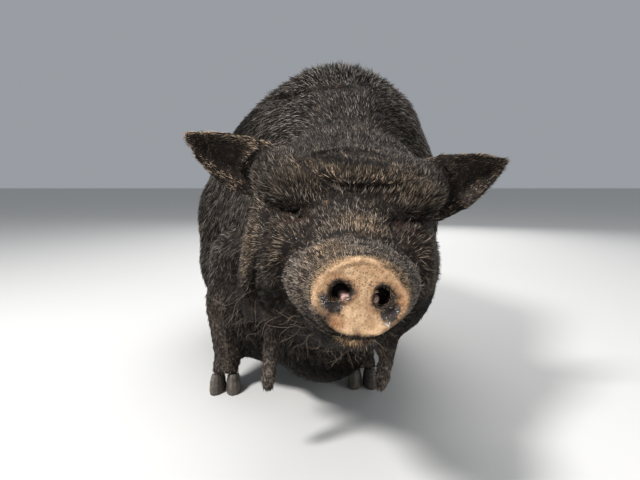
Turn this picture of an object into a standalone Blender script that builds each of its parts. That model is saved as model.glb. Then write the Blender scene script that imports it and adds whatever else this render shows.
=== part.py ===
"""A fat black kunekune pig, standing, life size, as still solids.

The pig faces -Y, +X is its own left side and +Z is up. The body is first modelled whole,
as overlapping masses of muscle and fat that are fused and smoothed, and then parted with
thin cuts into head, snout, lower jaw, neck, trunk and legs. The ears, tail, wattles, eyes
and claws are modelled on their own. Outer surfaces are the outside of the coat.
"""

import math

import bmesh
import bpy
import numpy as np
from mathutils import Matrix, Vector

# ---------------------------------------------------------------- driving sizes, in metres
GAP = 0.0003                 # between pieces that meet
TRUNK_VOXEL = 0.009          # grain of the trunk when its masses are fused
BODY_VOXEL = 0.0065          # grain of the whole body
FINE_VOXEL = 0.003           # grain of the ears, tail and wattles
BODY_FACES = 3250            # triangles of the whole body once thinned
LEG_CUT_FACES = 150          # and of the cutter round each leg
EAR_FACES = 340
TAIL_FACES = 150
WATTLE_FACES = 100

# The trunk at stations from the base of the neck to the rump: Y, X, half width, bottom, top.
TRUNK = (
    (-0.215, 0.038, 0.124, 0.150, 0.430),
    (-0.150, 0.036, 0.160, 0.090, 0.512),
    (-0.060, 0.026, 0.191, 0.062, 0.548),
    (0.040, -0.004, 0.214, 0.026, 0.545),
    (0.140, -0.030, 0.222, 0.024, 0.530),
    (0.240, -0.048, 0.210, 0.040, 0.516),
    (0.320, -0.064, 0.188, 0.090, 0.498),
    (0.385, -0.076, 0.150, 0.170, 0.465),
)
# The low slung belly: Y, X, half width, bottom, top.
BELLY = (
    (-0.010, 0.000, 0.190, 0.036, 0.290),
    (0.060, -0.022, 0.232, 0.022, 0.350),
    (0.160, -0.038, 0.230, 0.022, 0.350),
    (0.250, -0.052, 0.205, 0.036, 0.330),
)
STATION_STEP = 0.030         # between the ellipsoids strung along those stations
STATION_DEPTH = 0.085        # half length of each along Y

# The head's own frame: its origin is the middle of the skull, between the ears.
HEAD = (
    Matrix.Translation((0.037, -0.300, 0.330))
    @ Matrix.Rotation(math.radians(1.6), 4, "Z")      # it turns a little to its left
    @ Matrix.Rotation(math.radians(4.5), 4, "Y")      # and leans to that side
)
DISC_AT = Vector((0.0, -0.232, -0.080))
DISC_TILT = math.radians(-8)                # its face looks slightly up
DISC_HALF_WIDTH = 0.0445
DISC_HALF_HEIGHT = 0.0370
DISC_SIDES = 28
NOSTRIL_FROM_MIDDLE = 0.0195
EYE_AT = Vector((0.0690, -0.0780, -0.0130))
EYE_RADIUS = 0.0115

SIDES = {"left": 1.0, "right": -1.0}
FRONT_FEET = {"left": Vector((0.074, -0.118, 0.0)), "right": Vector((-0.159, -0.142, 0.0))}
HIND_FEET = {"left": Vector((0.062, 0.300, 0.0)), "right": Vector((-0.176, 0.262, 0.0))}
FOOT_AT = Vector((0.0, -0.005, 0.024))      # the soft foot above the claws
FOOT_RADII = (0.0260, 0.0285, 0.0220)
CORONET = 0.026              # floor to the top of the claws, at the middle of the foot
CORONET_SLOPE = math.radians(16)

FINISHES = {                 # colour and roughness
    "coat": ((0.035, 0.030, 0.028, 1.0), 0.7),
    "mud": ((0.52, 0.37, 0.24, 1.0), 0.8),
    "eye": ((0.03, 0.015, 0.01, 1.0), 0.1),
    "horn": ((0.09, 0.08, 0.075, 1.0), 0.5),
}


# ---------------------------------------------------------------- tools
def clear_scene():
    for obj in list(bpy.data.objects):
        bpy.data.objects.remove(obj)


def new_collection(name):
    collection = bpy.data.collections.new(name)
    bpy.context.scene.collection.children.link(collection)
    return collection


def finish(obj, kind):
    """Gives the object a material of its own and smooth shading."""
    colour, roughness = FINISHES[kind]
    made = bpy.data.materials.new(obj.name)
    made.use_nodes = True
    shader = made.node_tree.nodes["Principled BSDF"]
    shader.inputs["Base Color"].default_value = colour
    shader.inputs["Roughness"].default_value = roughness
    shader.inputs["Metallic"].default_value = 0.0
    obj.data.materials.clear()
    obj.data.materials.append(made)
    obj.data.shade_smooth()
    obj.data.set_sharp_from_angle(angle=math.radians(50))


def object_from(name, bm, collection):
    mesh = bpy.data.meshes.new(name)
    bm.to_mesh(mesh)
    bm.free()
    obj = bpy.data.objects.new(name, mesh)
    collection.objects.link(obj)
    return obj


def apply_modifiers(obj):
    """Replaces the object's mesh with the one its modifiers make."""
    graph = bpy.context.evaluated_depsgraph_get()
    mesh = bpy.data.meshes.new_from_object(obj.evaluated_get(graph))
    obj.modifiers.clear()
    obj.data = mesh
    return obj


def turned(degrees):
    """A rotation about X, then Y, then Z of the moving axes, in degrees."""
    turn = Matrix.Identity(4)
    for axis, angle in zip("XYZ", degrees):
        turn = turn @ Matrix.Rotation(math.radians(angle), 4, axis)
    return turn


def ellipsoid(bm, centre, radii, turn=(0.0, 0.0, 0.0), frame=None, detail=3):
    """One mass: its centre and radii in metres, turned by degrees about X, Y and Z."""
    place = Matrix.Translation(centre) @ turned(turn) @ Matrix.Diagonal((*radii, 1.0))
    if frame is not None:
        place = frame @ place
    bmesh.ops.create_icosphere(bm, subdivisions=detail, radius=1.0, matrix=place)


def pair(bm, centre, radii, turn=(0.0, 0.0, 0.0), frame=None):
    """The same mass on both sides of the frame's middle plane."""
    x, y, z = centre
    ax, ay, az = turn
    ellipsoid(bm, (x, y, z), radii, (ax, ay, az), frame)
    ellipsoid(bm, (-x, y, z), radii, (ax, -ay, -az), frame)


def strung(bm, stations):
    """Ellipsoids close together along Y, their sizes read between the stations."""
    table = np.array(stations)
    along = np.arange(table[0, 0], table[-1, 0] + STATION_STEP / 2, STATION_STEP)
    for y in along:
        x, half_width, bottom, top = (np.interp(y, table[:, 0], table[:, i]) for i in (1, 2, 3, 4))
        ellipsoid(bm, (x, y, (bottom + top) / 2), (half_width, STATION_DEPTH, (top - bottom) / 2))


def limb(bm, joints):
    """A chain of tapered lengths with round joints. Each joint is (point, radius)."""
    for (a, radius_a), (b, radius_b) in zip(joints, joints[1:]):
        a, b = Vector(a), Vector(b)
        along = b - a
        place = Matrix.Translation((a + b) / 2) @ along.to_track_quat("Z", "Y").to_matrix().to_4x4()
        bmesh.ops.create_cone(
            bm, cap_ends=True, segments=20, radius1=radius_a, radius2=radius_b,
            depth=along.length, matrix=place)
    for point, radius in joints:
        ellipsoid(bm, point, (radius, radius, radius), detail=2)


def fuse(obj, voxel, smoothing, faces=None):
    """Joins the overlapping masses into one skin, evens it and thins it to a count of faces."""
    remesh = obj.modifiers.new("fuse", "REMESH")
    remesh.mode = "VOXEL"
    remesh.voxel_size = voxel
    even = obj.modifiers.new("even", "SMOOTH")
    even.factor = 0.5
    even.iterations = smoothing
    apply_modifiers(obj)
    if faces is not None:
        triangles = sum(len(face.vertices) - 2 for face in obj.data.polygons)
        thin = obj.modifiers.new("thin", "DECIMATE")
        thin.ratio = faces / triangles
        apply_modifiers(obj)
    return obj


def boolean(obj, other, operation):
    modifier = obj.modifiers.new("cut", "BOOLEAN")
    modifier.operation = operation
    modifier.solver = "EXACT"
    modifier.object = other
    return apply_modifiers(obj)


def copy_of(obj, name, collection):
    made = bpy.data.objects.new(name, obj.data.copy())
    collection.objects.link(made)
    return made


def hide(obj):
    obj.hide_render = True
    obj.display_type = "WIRE"
    return obj


def swollen(obj):
    """A cutter larger than the object by the gap, all round."""
    made = copy_of(obj, obj.name + "_clear", cutters)
    grow = made.modifiers.new("grow", "DISPLACE")
    grow.strength = GAP
    grow.mid_level = 0.0
    return hide(apply_modifiers(made))


def split_off(whole, name, place, half):
    """Takes what lies in a box out of the whole as a new piece, with a gap left between."""
    boxes = []
    for label, grown in (("_inside", 0.0), ("_outside", GAP)):
        bm = bmesh.new()
        size = Matrix.Diagonal((half[0] + grown, half[1] + grown, half[2] + grown, 1.0))
        bmesh.ops.create_cube(bm, size=2.0, matrix=place @ size)
        boxes.append(hide(object_from(name + label, bm, cutters)))
    piece = boolean(copy_of(whole, name, pig), boxes[0], "INTERSECT")
    boolean(whole, boxes[1], "DIFFERENCE")
    return piece


def keep_side(bm, point, normal):
    """Cuts away what lies on the normal's side of the plane and closes the cut."""
    everything = bm.verts[:] + bm.edges[:] + bm.faces[:]
    bmesh.ops.bisect_plane(
        bm, geom=everything, dist=1e-6, plane_co=point, plane_no=normal, clear_outer=True)
    rim = [edge for edge in bm.edges if edge.is_boundary]
    bmesh.ops.holes_fill(bm, edges=rim, sides=0)


def drop_slivers(bm):
    """Keeps the largest body, where a cut has left loose slivers beside it."""
    waiting = set(bm.verts)
    bodies = []
    while waiting:
        found = {waiting.pop()}
        front = list(found)
        while front:
            vert = front.pop()
            near = {edge.other_vert(vert) for edge in vert.link_edges} & waiting
            waiting -= near
            found |= near
            front.extend(near)
        bodies.append(found)
    largest = max(bodies, key=len)
    bmesh.ops.delete(bm, geom=[vert for vert in bm.verts if vert not in largest], context="VERTS")


# ---------------------------------------------------------------- the body, whole
def trunk_masses(bm):
    """Barrel and belly, a fuller right side, the ridge of the shoulders, brisket and hams."""
    strung(bm, TRUNK)
    strung(bm, BELLY)
    ellipsoid(bm, (-0.158, 0.130, 0.270), (0.103, 0.150, 0.130))
    ellipsoid(bm, (0.092, -0.050, 0.445), (0.084, 0.110, 0.075))
    ellipsoid(bm, (0.030, -0.050, 0.473), (0.108, 0.120, 0.078))
    ellipsoid(bm, (0.004, -0.180, 0.116), (0.088, 0.092, 0.092))
    ellipsoid(bm, (-0.072, -0.110, 0.124), (0.105, 0.100, 0.092))
    ellipsoid(bm, (0.050, -0.105, 0.170), (0.105, 0.100, 0.098))
    ellipsoid(bm, (-0.146, 0.300, 0.250), (0.095, 0.120, 0.150), (12, 0, 8))
    ellipsoid(bm, (0.012, 0.325, 0.250), (0.095, 0.120, 0.150), (12, 0, 8))


def neck_masses(bm):
    """The short neck, with the dewlap below."""
    ellipsoid(bm, (0.036, -0.225, 0.335), (0.128, 0.090, 0.100))
    ellipsoid(bm, (0.030, -0.225, 0.225), (0.118, 0.100, 0.100))
    ellipsoid(bm, (0.024, -0.235, 0.165), (0.095, 0.085, 0.070))


def head_masses(bm):
    """Skull and forehead, brows, nose bridge and muzzle, cheeks and jowls, throat and chin.

    One more roll of fat hangs behind the right cheek, on the side that the trunk bends to."""
    ellipsoid(bm, (0, 0.000, -0.010), (0.116, 0.095, 0.078), frame=HEAD)
    ellipsoid(bm, (0, 0.004, 0.028), (0.134, 0.054, 0.046), (18, 0, 0), frame=HEAD)
    ellipsoid(bm, (0, -0.028, 0.020), (0.080, 0.052, 0.036), (24, 0, 0), frame=HEAD)
    pair(bm, (0.086, -0.020, 0.018), (0.046, 0.046, 0.036), (20, -10, 0), frame=HEAD)
    pair(bm, (0.070, -0.056, 0.007), (0.052, 0.036, 0.024), (0, -12, 0), frame=HEAD)
    ellipsoid(bm, (0, -0.095, -0.045), (0.054, 0.090, 0.042), (20, 0, 0), frame=HEAD)
    ellipsoid(bm, (0, -0.150, -0.083), (0.076, 0.058, 0.050), frame=HEAD)
    ellipsoid(bm, (0.003, -0.188, -0.082), (0.057, 0.045, 0.044), frame=HEAD)
    pair(bm, (0.062, -0.080, -0.070), (0.046, 0.052, 0.056), (0, 0, 20), frame=HEAD)
    pair(bm, (0.068, -0.025, -0.085), (0.053, 0.078, 0.092), (0, 0, 8), frame=HEAD)
    ellipsoid(bm, (-0.111, -0.014, -0.086), (0.026, 0.052, 0.096), (0, 4, 0), frame=HEAD)
    ellipsoid(bm, (0, -0.035, -0.130), (0.088, 0.090, 0.066), (-10, 0, 0), frame=HEAD)
    ellipsoid(bm, (0, -0.115, -0.116), (0.056, 0.090, 0.040), (4, 0, 0), frame=HEAD)
    ellipsoid(bm, (0, -0.165, -0.122), (0.044, 0.050, 0.030), (4, 0, 0), frame=HEAD)


def front_joints(side_name):
    """Elbow, upper arm, knee, cannon and pastern: point and radius of each."""
    side = SIDES[side_name]
    foot = FRONT_FEET[side_name]
    elbow_in = 0.018 if side_name == "right" else 0.0
    return [
        (foot + Vector((elbow_in - side * 0.004, 0.042, 0.215)), 0.0600),
        (foot + Vector((side * 0.003, 0.020, 0.145)), 0.0360),
        (foot + Vector((side * 0.002, 0.010, 0.096)), 0.0275),
        (foot + Vector((0.000, 0.006, 0.060)), 0.0230),
        (foot + Vector((0.000, -0.002, 0.038)), 0.0240),
    ]


def hind_joints(side_name):
    """Ham, gaskin, hock, cannon and pastern: point and radius of each."""
    side = SIDES[side_name]
    foot = HIND_FEET[side_name]
    return [
        (foot + Vector((-side * 0.018, 0.000, 0.240)), 0.0920),
        (foot + Vector((0.000, 0.034, 0.165)), 0.0560),
        (foot + Vector((side * 0.002, 0.052, 0.116)), 0.0320),
        (foot + Vector((0.000, 0.026, 0.068)), 0.0240),
        (foot + Vector((0.000, 0.002, 0.040)), 0.0240),
    ]


def whole_body():
    """The trunk is fused first, and evened more, so that its masses read as one barrel."""
    bm = bmesh.new()
    trunk_masses(bm)
    neck_masses(bm)
    made = fuse(object_from("trunk", bm, pig), TRUNK_VOXEL, 14)
    bm = bmesh.new()
    bm.from_mesh(made.data)
    head_masses(bm)
    for side_name in SIDES:
        limb(bm, front_joints(side_name))
        limb(bm, hind_joints(side_name))
        ellipsoid(bm, FRONT_FEET[side_name] + FOOT_AT, FOOT_RADII)
        ellipsoid(bm, HIND_FEET[side_name] + FOOT_AT, FOOT_RADII)
    bm.to_mesh(made.data)
    bm.free()
    return fuse(made, BODY_VOXEL, 6, BODY_FACES)


# ---------------------------------------------------------------- the body, parted
def coronet_normal():
    """Upwards and backwards, square to the plane where the hair ends and the claws begin."""
    return Vector((0.0, math.sin(CORONET_SLOPE), math.cos(CORONET_SLOPE)))


def part_leg(whole, name, foot, joints):
    """Parts a leg along its own outline, and takes off the foot below the coronet."""
    bm = bmesh.new()
    limb(bm, [(point, radius * 1.12 + 0.004) for point, radius in joints[1:]])
    ellipsoid(bm, foot + FOOT_AT, [radius + 0.005 for radius in FOOT_RADII])
    cutter = hide(fuse(object_from(name + "_cut", bm, cutters), 0.006, 3, LEG_CUT_FACES))
    leg = boolean(copy_of(whole, name, pig), cutter, "INTERSECT")
    boolean(whole, swollen(cutter), "DIFFERENCE")
    bm = bmesh.new()
    bm.from_mesh(leg.data)
    drop_slivers(bm)
    keep_side(bm, foot + Vector((0, 0, CORONET + GAP)), -coronet_normal())
    bm.to_mesh(leg.data)
    bm.free()


def part_the_body(whole):
    """Legs, head, neck, lower jaw and snout come off; the trunk is what is left."""
    for side_name in SIDES:
        part_leg(whole, "leg_front_" + side_name, FRONT_FEET[side_name], front_joints(side_name))
        part_leg(whole, "leg_hind_" + side_name, HIND_FEET[side_name], hind_joints(side_name))
    ahead = Matrix.Translation((0, -0.4, 0))
    nape = Matrix.Translation((0.0, -0.266, 0.270)) @ turned((-9.5, 0, 0))
    head = split_off(whole, "head", nape @ ahead, (0.3, 0.4, 0.4))
    withers = Matrix.Translation((0.0, -0.205, 0.275)) @ turned((-14, 0, 0))
    split_off(whole, "neck", withers @ ahead, (0.3, 0.4, 0.4))
    mouth = HEAD @ Matrix.Translation((0.0, -0.165, -0.172)) @ turned((3, 0, 0))
    split_off(head, "lower_jaw", mouth, (0.058, 0.085, 0.048))
    front = HEAD @ Matrix.Translation((0.0, -0.265, -0.080))
    return head, split_off(head, "snout", front, (0.1, 0.1, 0.1))


# ---------------------------------------------------------------- snout disc
def add_disc(snout):
    """A thick plate, broad at the nostrils and narrow below, joined to the muzzle's end."""
    place = HEAD @ Matrix.Translation(DISC_AT) @ Matrix.Rotation(DISC_TILT, 4, "X")
    bm = bmesh.new()
    ring = []
    for i in range(DISC_SIDES):
        angle = math.tau * i / DISC_SIDES
        x = DISC_HALF_WIDTH * math.cos(angle) * (1 + 0.10 * math.sin(angle))
        ring.append(bm.verts.new((x, 0.010, DISC_HALF_HEIGHT * math.sin(angle))))
    face = bm.faces.new(ring)
    raised = bmesh.ops.extrude_face_region(bm, geom=[face])["geom"]
    front = [v for v in raised if isinstance(v, bmesh.types.BMVert)]
    bmesh.ops.translate(bm, verts=front, vec=(0, -0.020, 0))
    bmesh.ops.recalc_face_normals(bm, faces=bm.faces)
    rim = [e for e in bm.edges if all(v in front for v in e.verts)]
    bmesh.ops.bevel(bm, geom=rim, offset=0.005, segments=2, profile=0.5, affect="EDGES")
    bmesh.ops.transform(bm, matrix=place, verts=bm.verts)
    boolean(snout, hide(object_from("disc", bm, cutters)), "UNION")
    bm = bmesh.new()
    for side in SIDES.values():
        centre = (side * NOSTRIL_FROM_MIDDLE, -0.012, 0.004)
        ellipsoid(bm, centre, (0.0075, 0.012, 0.0085), frame=place, detail=2)
    boolean(snout, hide(object_from("nostrils", bm, cutters)), "DIFFERENCE")


# ---------------------------------------------------------------- ears
def bend(a, b, c, t):
    """A point on the curve that leaves a for b and arrives at c."""
    return a * (1 - t) ** 2 + b * (2 * t * (1 - t)) + c * t ** 2


def ear(name, side, root, swell, tip):
    """A leaf held out sideways, hollow in front, with the upper rim curled forward.

    The lower rim leaves the root, swells, and runs out to the tip."""
    upper_root = Vector((0.100, 0.0, 0.064))
    upper_swell = Vector((0.165, 0.0, 0.078))
    bm = bmesh.new()
    leaf = bmesh.ops.create_grid(bm, x_segments=14, y_segments=10, size=1.0)["verts"]
    for vert in leaf:
        along = (vert.co.x + 1) / 2
        across = (vert.co.y + 1) / 2
        low = bend(root, swell, tip, along)
        high = bend(upper_root, upper_swell, tip, along)
        place = low.lerp(high, across)
        hollow = 0.026 * math.sqrt(1 - along * 0.98) * math.sin(math.pi * across)
        curl = 0.016 * math.sin(math.pi * (0.15 + 0.8 * along)) * across ** 3
        place.y = 0.012 - 0.018 * along + hollow - curl
        vert.co = HEAD @ Vector((side * place.x, place.y, place.z))
    bmesh.ops.remove_doubles(bm, verts=bm.verts, dist=0.002)
    made = object_from(name, bm, pig)
    wall = made.modifiers.new("wall", "SOLIDIFY")
    wall.thickness = 0.0075
    wall.offset = 0.0
    apply_modifiers(made)
    return fuse(made, FINE_VOXEL, 3, EAR_FACES)


def both_ears():
    """The right ear is held a little more open than the left."""
    left = ear(
        "ear_left", SIDES["left"],
        Vector((0.112, 0, -0.028)), Vector((0.182, 0, -0.012)), Vector((0.208, 0, 0.067)))
    right = ear(
        "ear_right", SIDES["right"],
        Vector((0.112, 0, -0.014)), Vector((0.196, 0, -0.002)), Vector((0.218, 0, 0.069)))
    return [left, right]


# ---------------------------------------------------------------- tail, wattles, eyes, claws
def tail():
    """It hangs from the rump, bends once and ends in a small brush."""
    bm = bmesh.new()
    limb(bm, [
        ((-0.086, 0.440, 0.400), 0.0200),
        ((-0.090, 0.478, 0.372), 0.0150),
        ((-0.096, 0.492, 0.330), 0.0120),
        ((-0.106, 0.490, 0.285), 0.0100),
        ((-0.110, 0.486, 0.245), 0.0110),
        ((-0.108, 0.486, 0.212), 0.0125),
        ((-0.108, 0.488, 0.186), 0.0060),
    ])
    return fuse(object_from("tail", bm, pig), FINE_VOXEL, 3, TAIL_FACES)


def wattle(name, side):
    """The tassel that hangs from the throat behind a corner of the jaw."""
    root = HEAD @ Vector((side * 0.075 - 0.009, -0.060, -0.150))
    tip = Vector((0.0055 + side * 0.0705, -0.368, 0.0990))
    bm = bmesh.new()
    limb(bm, [(root, 0.0130), (root.lerp(tip, 0.6), 0.0105), (tip, 0.0100)])
    return fuse(object_from(name, bm, pig), FINE_VOXEL, 2, WATTLE_FACES)


def eye(name, side):
    bm = bmesh.new()
    centre = HEAD @ Vector((side * EYE_AT.x, EYE_AT.y, EYE_AT.z))
    bmesh.ops.create_uvsphere(
        bm, u_segments=10, v_segments=7, radius=EYE_RADIUS, matrix=Matrix.Translation(centre))
    return object_from(name, bm, pig)


def claw(name, foot, outward):
    """One of the two toes that carry the weight, flat below and cut off at the coronet."""
    place = Matrix.Translation(foot + Vector((outward * 0.0132, -0.006, 0.005)))
    place = place @ Matrix.Rotation(math.radians(5 * outward), 4, "Z")
    bm = bmesh.new()
    bmesh.ops.create_uvsphere(
        bm, u_segments=12, v_segments=8, radius=1.0,
        matrix=place @ Matrix.Diagonal((0.0124, 0.0275, 0.0340, 1.0)))
    keep_side(bm, Vector((0, 0, 0)), Vector((0, 0, -1)))
    keep_side(bm, foot + Vector((0, 0, CORONET)), coronet_normal())
    return object_from(name, bm, pig)


def dewclaw(name, foot, outward, leg):
    """One of the two small toes behind, clear of the ground, let into the leg."""
    at = foot + Vector((outward * 0.0145, 0.0240, 0.0400))
    place = Matrix.Translation(at) @ turned((30, 0, 0))
    bm = bmesh.new()
    bmesh.ops.create_uvsphere(
        bm, u_segments=7, v_segments=5, radius=1.0,
        matrix=place @ Matrix.Diagonal((0.0072, 0.0085, 0.0125, 1.0)))
    made = object_from(name, bm, pig)
    boolean(leg, swollen(made), "DIFFERENCE")
    return made


# ---------------------------------------------------------------- the pig, put together
clear_scene()
pig = new_collection("pig")
cutters = new_collection("cutters")

body = whole_body()
body_clear = swollen(body)
coated = [tail(), *both_ears()]
coated += [wattle("wattle_" + side_name, side) for side_name, side in SIDES.items()]
for piece in coated:
    boolean(piece, body_clear, "DIFFERENCE")

skull, muzzle = part_the_body(body)
add_disc(muzzle)
eyes = [eye("eye_" + side_name, side) for side_name, side in SIDES.items()]
for piece in eyes:
    boolean(skull, swollen(piece), "DIFFERENCE")

claws = []
for end, feet in (("front", FRONT_FEET), ("hind", HIND_FEET)):
    for side_name, side in SIDES.items():
        shank = bpy.data.objects["_".join(("leg", end, side_name))]
        for toe, outward in (("outer", side), ("inner", -side)):
            label = "_".join((end, side_name, toe))
            claws.append(claw("claw_" + label, feet[side_name], outward))
            claws.append(dewclaw("dewclaw_" + label, feet[side_name], outward, shank))

# The origin is the middle of the floor under the pig's box.
corners = np.array([vert.co for obj in pig.objects for vert in obj.data.vertices])
middle = (corners.min(axis=0) + corners.max(axis=0)) / 2
for obj in pig.objects:
    kind = "eye" if obj in eyes else "horn" if obj in claws else "mud" if obj == muzzle else "coat"
    finish(obj, kind)
    obj.location = (-middle[0], -middle[1], 0.0)
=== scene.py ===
"""A fat black kunekune pig, standing with its head low: its hide, bristles, eyes and claws."""

import math

import bmesh
import bpy
import numpy as np
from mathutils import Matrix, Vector
from mathutils.bvhtree import BVHTree
from mathutils.kdtree import KDTree


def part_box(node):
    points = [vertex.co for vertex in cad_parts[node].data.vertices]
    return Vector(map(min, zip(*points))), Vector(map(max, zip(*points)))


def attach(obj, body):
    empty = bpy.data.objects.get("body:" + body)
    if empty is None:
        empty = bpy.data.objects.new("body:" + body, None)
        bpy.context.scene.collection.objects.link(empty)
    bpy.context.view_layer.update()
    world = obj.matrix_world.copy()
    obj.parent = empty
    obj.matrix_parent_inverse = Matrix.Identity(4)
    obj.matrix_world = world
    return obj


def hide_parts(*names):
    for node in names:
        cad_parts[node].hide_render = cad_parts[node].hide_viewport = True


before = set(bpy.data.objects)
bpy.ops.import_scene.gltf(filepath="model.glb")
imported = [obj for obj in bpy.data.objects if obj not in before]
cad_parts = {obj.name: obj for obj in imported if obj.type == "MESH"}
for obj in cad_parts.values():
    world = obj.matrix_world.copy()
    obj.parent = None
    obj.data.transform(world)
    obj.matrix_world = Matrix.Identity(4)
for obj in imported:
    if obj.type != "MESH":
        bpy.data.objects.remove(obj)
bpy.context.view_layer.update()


# ---------------------------------------------------------------- the view
# The pig is met head on, from a step away and from below the top of its back, so that the
# snout comes forward and the shoulders rise behind the ears.

EYE_LEVEL = 0.36
STEP_BACK = 0.9786
STEP_ASIDE = 0.0057
LOOK_DOWN = math.radians(7)


def set_down(name, data):
    """Puts a new object of this name and data in the scene."""
    made = bpy.data.objects.new(name, data)
    bpy.context.scene.collection.objects.link(made)
    return made


view = bpy.data.cameras.new("view")
view.sensor_width = 36.0
view.lens = 29.53
view.clip_start = 0.01
view_obj = set_down("view", view)
view_obj.location = (STEP_ASIDE, -STEP_BACK, EYE_LEVEL)
view_obj.rotation_euler = (math.pi / 2 - LOOK_DOWN, 0.0, 0.0)
bpy.context.scene.camera = view_obj


# ---------------------------------------------------------------- the studio
# A pale floor in a pale room, with a broad lamp high on the pig's right, where the low sun
# of a fine day would stand, and weaker ones opposite and overhead.


class Value:
    """A number that varies over a surface, with the usual arithmetic."""

    def __init__(self, tree, socket):
        self.tree = tree
        self.socket = socket

    def _with(self, operation, *others):
        made = self.tree.nodes.new("ShaderNodeMath")
        made.operation = operation
        for slot, operand in zip(made.inputs, (self, *others)):
            if isinstance(operand, Value):
                self.tree.links.new(operand.socket, slot)
            else:
                slot.default_value = operand
        return Value(self.tree, made.outputs[0])

    def __add__(self, other):
        return self._with("ADD", other)

    __radd__ = __add__

    def __mul__(self, other):
        return self._with("MULTIPLY", other)

    __rmul__ = __mul__

    def __sub__(self, other):
        return self._with("SUBTRACT", other)

    def __rsub__(self, other):
        return self._with("MULTIPLY_ADD", -1.0, other)

    def clipped(self):
        made = self._with("MULTIPLY", 1.0)
        made.socket.node.use_clamp = True
        return made

    def between(self, low, high):
        """Nought below low, one above high, and even between them."""
        return ((self - low) * (1.0 / (high - low))).clipped()


class Finish:
    """A material under way: its nodes are added one by one and joined by their sockets."""

    def __init__(self, name):
        self.material = bpy.data.materials.new(name)
        self.material.use_nodes = True
        self.tree = self.material.node_tree
        self.shader = self.tree.nodes["Principled BSDF"]

    def node(self, kind, settings=None, out=0, **sockets):
        """Adds a node: its settings first, then the value or link of each named socket."""
        made = self.tree.nodes.new(kind)
        for name, setting in (settings or {}).items():
            setattr(made, name, setting)
        for name, value in sockets.items():
            self.feed(made.inputs[name], value)
        return made.outputs[out]

    def feed(self, slot, value):
        if isinstance(value, Value):
            value = value.socket
        if isinstance(value, bpy.types.NodeSocket):
            self.tree.links.new(value, slot)
        else:
            slot.default_value = value

    def value(self, kind, settings=None, out=0, **sockets):
        return Value(self.tree, self.node(kind, settings, out, **sockets))

    def here(self):
        return self.node("ShaderNodeTexCoord", out=3)

    def attribute(self, name):
        return self.value("ShaderNodeAttribute", {"attribute_name": name}, out=2)

    def noise(self, size, detail=3.0, rough=0.55, at=None):
        return self.value("ShaderNodeTexNoise", Vector=at or self.here(), Scale=1.0 / size,
                          Detail=detail, Roughness=rough)

    def stretched(self, scale):
        return self.node("ShaderNodeMapping", Vector=self.here(), Scale=scale)

    def blend(self, amount, low, high):
        """The colour low where the amount is nought, and high where it is one."""
        made = self.tree.nodes.new("ShaderNodeMix")
        made.data_type = "RGBA"
        for slot, value in zip((0, 6, 7), (amount, low, high)):
            self.feed(made.inputs[slot], (*value, 1.0) if isinstance(value, tuple) else value)
        return made.outputs[2]

    def covered(self, colour, *layers):
        """The colour under one layer after another, each an amount and its own colour."""
        for amount, layer in layers:
            colour = self.blend(amount, colour, layer)
        return colour

    def bump(self, height, strength, distance, **under):
        return self.node("ShaderNodeBump", Height=height, Strength=strength, Distance=distance,
                         **under)

    def surface(self, **sockets):
        for name, value in sockets.items():
            self.feed(self.shader.inputs[name.replace("_", " ")], value)
        return self.material


bm = bmesh.new()
bmesh.ops.create_grid(bm, x_segments=1, y_segments=1, size=14.0)
floor_mesh = bpy.data.meshes.new("floor")
bm.to_mesh(floor_mesh)
bm.free()
floor = set_down("floor", floor_mesh)
paint = Finish("floor")
floor_mesh.materials.append(paint.surface(Base_Color=(0.62, 0.61, 0.59, 1.0), Roughness=0.9))

room = bpy.data.worlds.new("room")
room.use_nodes = True
daylight = room.node_tree.nodes["Background"].inputs
daylight["Color"].default_value = (0.8, 0.85, 0.92, 1.0)
daylight["Strength"].default_value = 0.4
bpy.context.scene.world = room
bpy.context.scene.view_settings.view_transform = "Standard"

LAMPS = {                    # place, aim, breadth and watts
    "sun_side": ((-1.15, -1.25, 1.9), (0.0, -0.15, 0.3), 0.5, 74.0),
    "sky_side": ((1.9, -1.3, 1.1), (0.0, -0.1, 0.25), 1.6, 9.0),
    "overhead": ((0.1, 0.7, 2.2), (0.0, 0.0, 0.4), 1.6, 22.0),
    "behind": ((0.6, 2.4, 1.3), (0.0, 0.3, 0.3), 1.8, 26.0),
}
for name, (place, aim, breadth, watts) in LAMPS.items():
    lamp = bpy.data.lights.new(name, "AREA")
    lamp.shape = "DISK"
    lamp.size = breadth
    lamp.energy = watts
    lamp_obj = set_down(name, lamp)
    lamp_obj.location = place
    lamp_obj.rotation_euler = (Vector(aim) - Vector(place)).to_track_quat("-Z", "Y").to_euler()


# ---------------------------------------------------------------- the hide, laid over the body
# One skin covers trunk, neck, head, legs, ears, tail and tassels. It starts as the flesh's
# outside, evened out, with more points on the face, and is then drawn in by the coat's depth.

EYES = ("eye_left", "eye_right")
FLESH = ("trunk", "neck", "head", "lower_jaw", "snout", "tail", "ear_left", "ear_right",
         "wattle_left", "wattle_right", "leg_front_left", "leg_front_right",
         "leg_hind_left", "leg_hind_right")
SLIM = ("ear", "wattle", "tail", "leg", "snout")
SLIM_MARGIN = 0.004
WEAVE = 0.0054               # spacing of the hide's points on the body
OVERLAP = 0.0008             # how far the cut parts swell into each other
SOCKET_FILL = 0.0012         # and the eyeballs under the lids
WELD = 0.00001
# The head's own frame: across from eye to eye, back along the skull, and up. Its origin lies
# in the skull, so far back from the eyes and above them.
SKULL_BACK = 0.078
SKULL_UP = 0.013

middles = [(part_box(name)[0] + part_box(name)[1]) / 2 for name in EYES]
ACROSS = (middles[0] - middles[1]).normalized()
BACK = Vector((0.0, 0.0, 1.0)).cross(ACROSS).normalized()
UP = ACROSS.cross(BACK)
SKULL = np.array((middles[0] + middles[1]) / 2 + SKULL_BACK * BACK + SKULL_UP * UP)
TO_HEAD = np.array([ACROSS, BACK, UP]).T


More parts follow.
